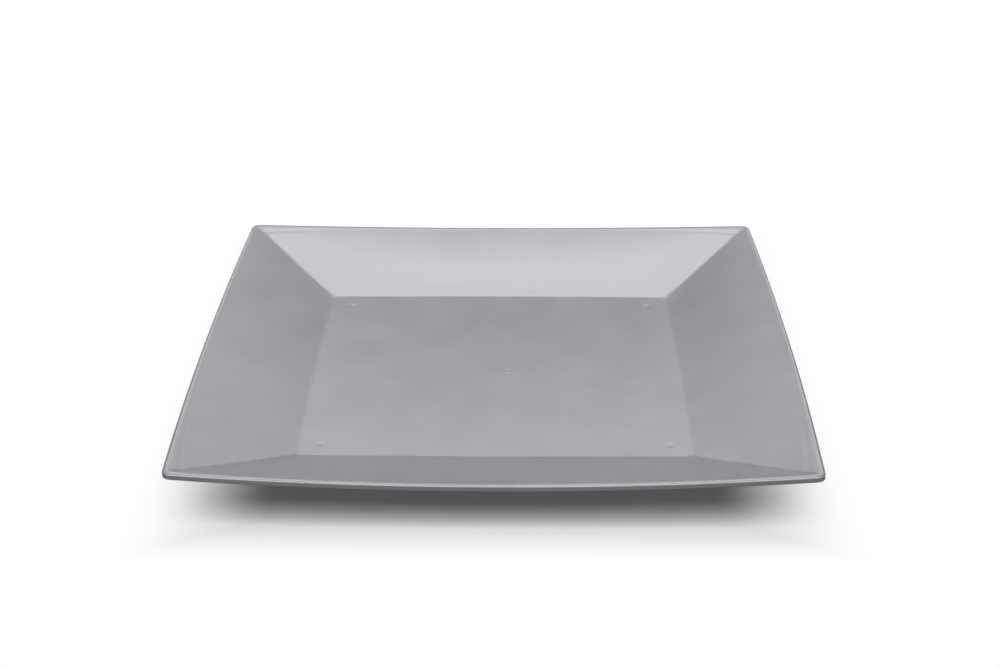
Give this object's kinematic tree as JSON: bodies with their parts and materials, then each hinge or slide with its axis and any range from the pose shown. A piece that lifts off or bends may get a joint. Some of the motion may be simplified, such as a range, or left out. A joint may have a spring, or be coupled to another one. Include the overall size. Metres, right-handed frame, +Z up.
{
  "type": "square dinner plate",
  "caption": "Square dinner plate with a flat floor, sloping sides that bow outwards, a rolled rim with a short skirt, and small feet.",
  "frame": {"origin": "on the table under the middle of the plate", "axes": "+Z up, out of the food side; +X and +Y square to the sides"},
  "size_m": [0.24, 0.24, 0.0197],
  "materials": {
    "plate": "satin"
  },
  "bodies": {
    "root": {"plate": "plate"}
  },
  "joints": []
}
